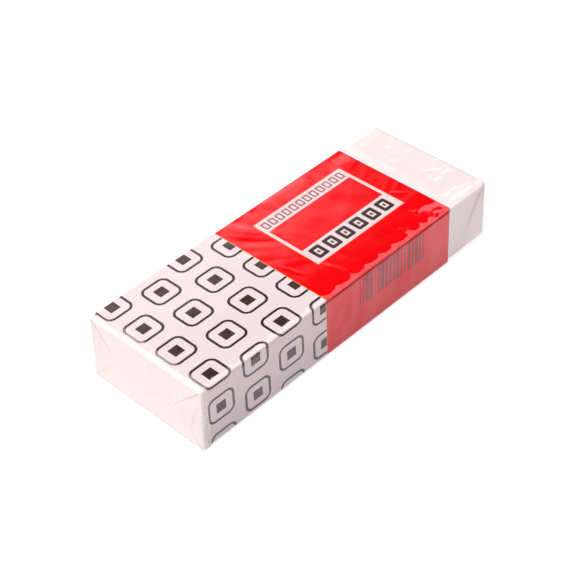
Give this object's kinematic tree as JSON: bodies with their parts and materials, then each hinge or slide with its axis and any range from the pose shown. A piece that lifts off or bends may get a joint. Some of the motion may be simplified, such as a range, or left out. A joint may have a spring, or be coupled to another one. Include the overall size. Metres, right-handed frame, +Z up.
{
  "type": "wrapped rubber eraser",
  "caption": "White vinyl eraser block in a folded printed card sleeve, over-wrapped in clear film with folded ends.",
  "frame": {"origin": "centre of the underside, on the face of the film that it lies on", "axes": "+X along the eraser from the patterned end to the bare end, +Y across it, +Z up through its thickness"},
  "size_m": [0.0612, 0.0228, 0.0111],
  "materials": {
    "vinyl": "matt white vinyl with a soft sheen",
    "printed_card": "smooth coated card, printed red and patterned white",
    "clear_film": "clear glossy film, tight and slightly creased"
  },
  "bodies": {
    "root": {"eraser_block": "vinyl", "sleeve": "printed_card", "film_wrap": "clear_film"}
  },
  "joints": []
}
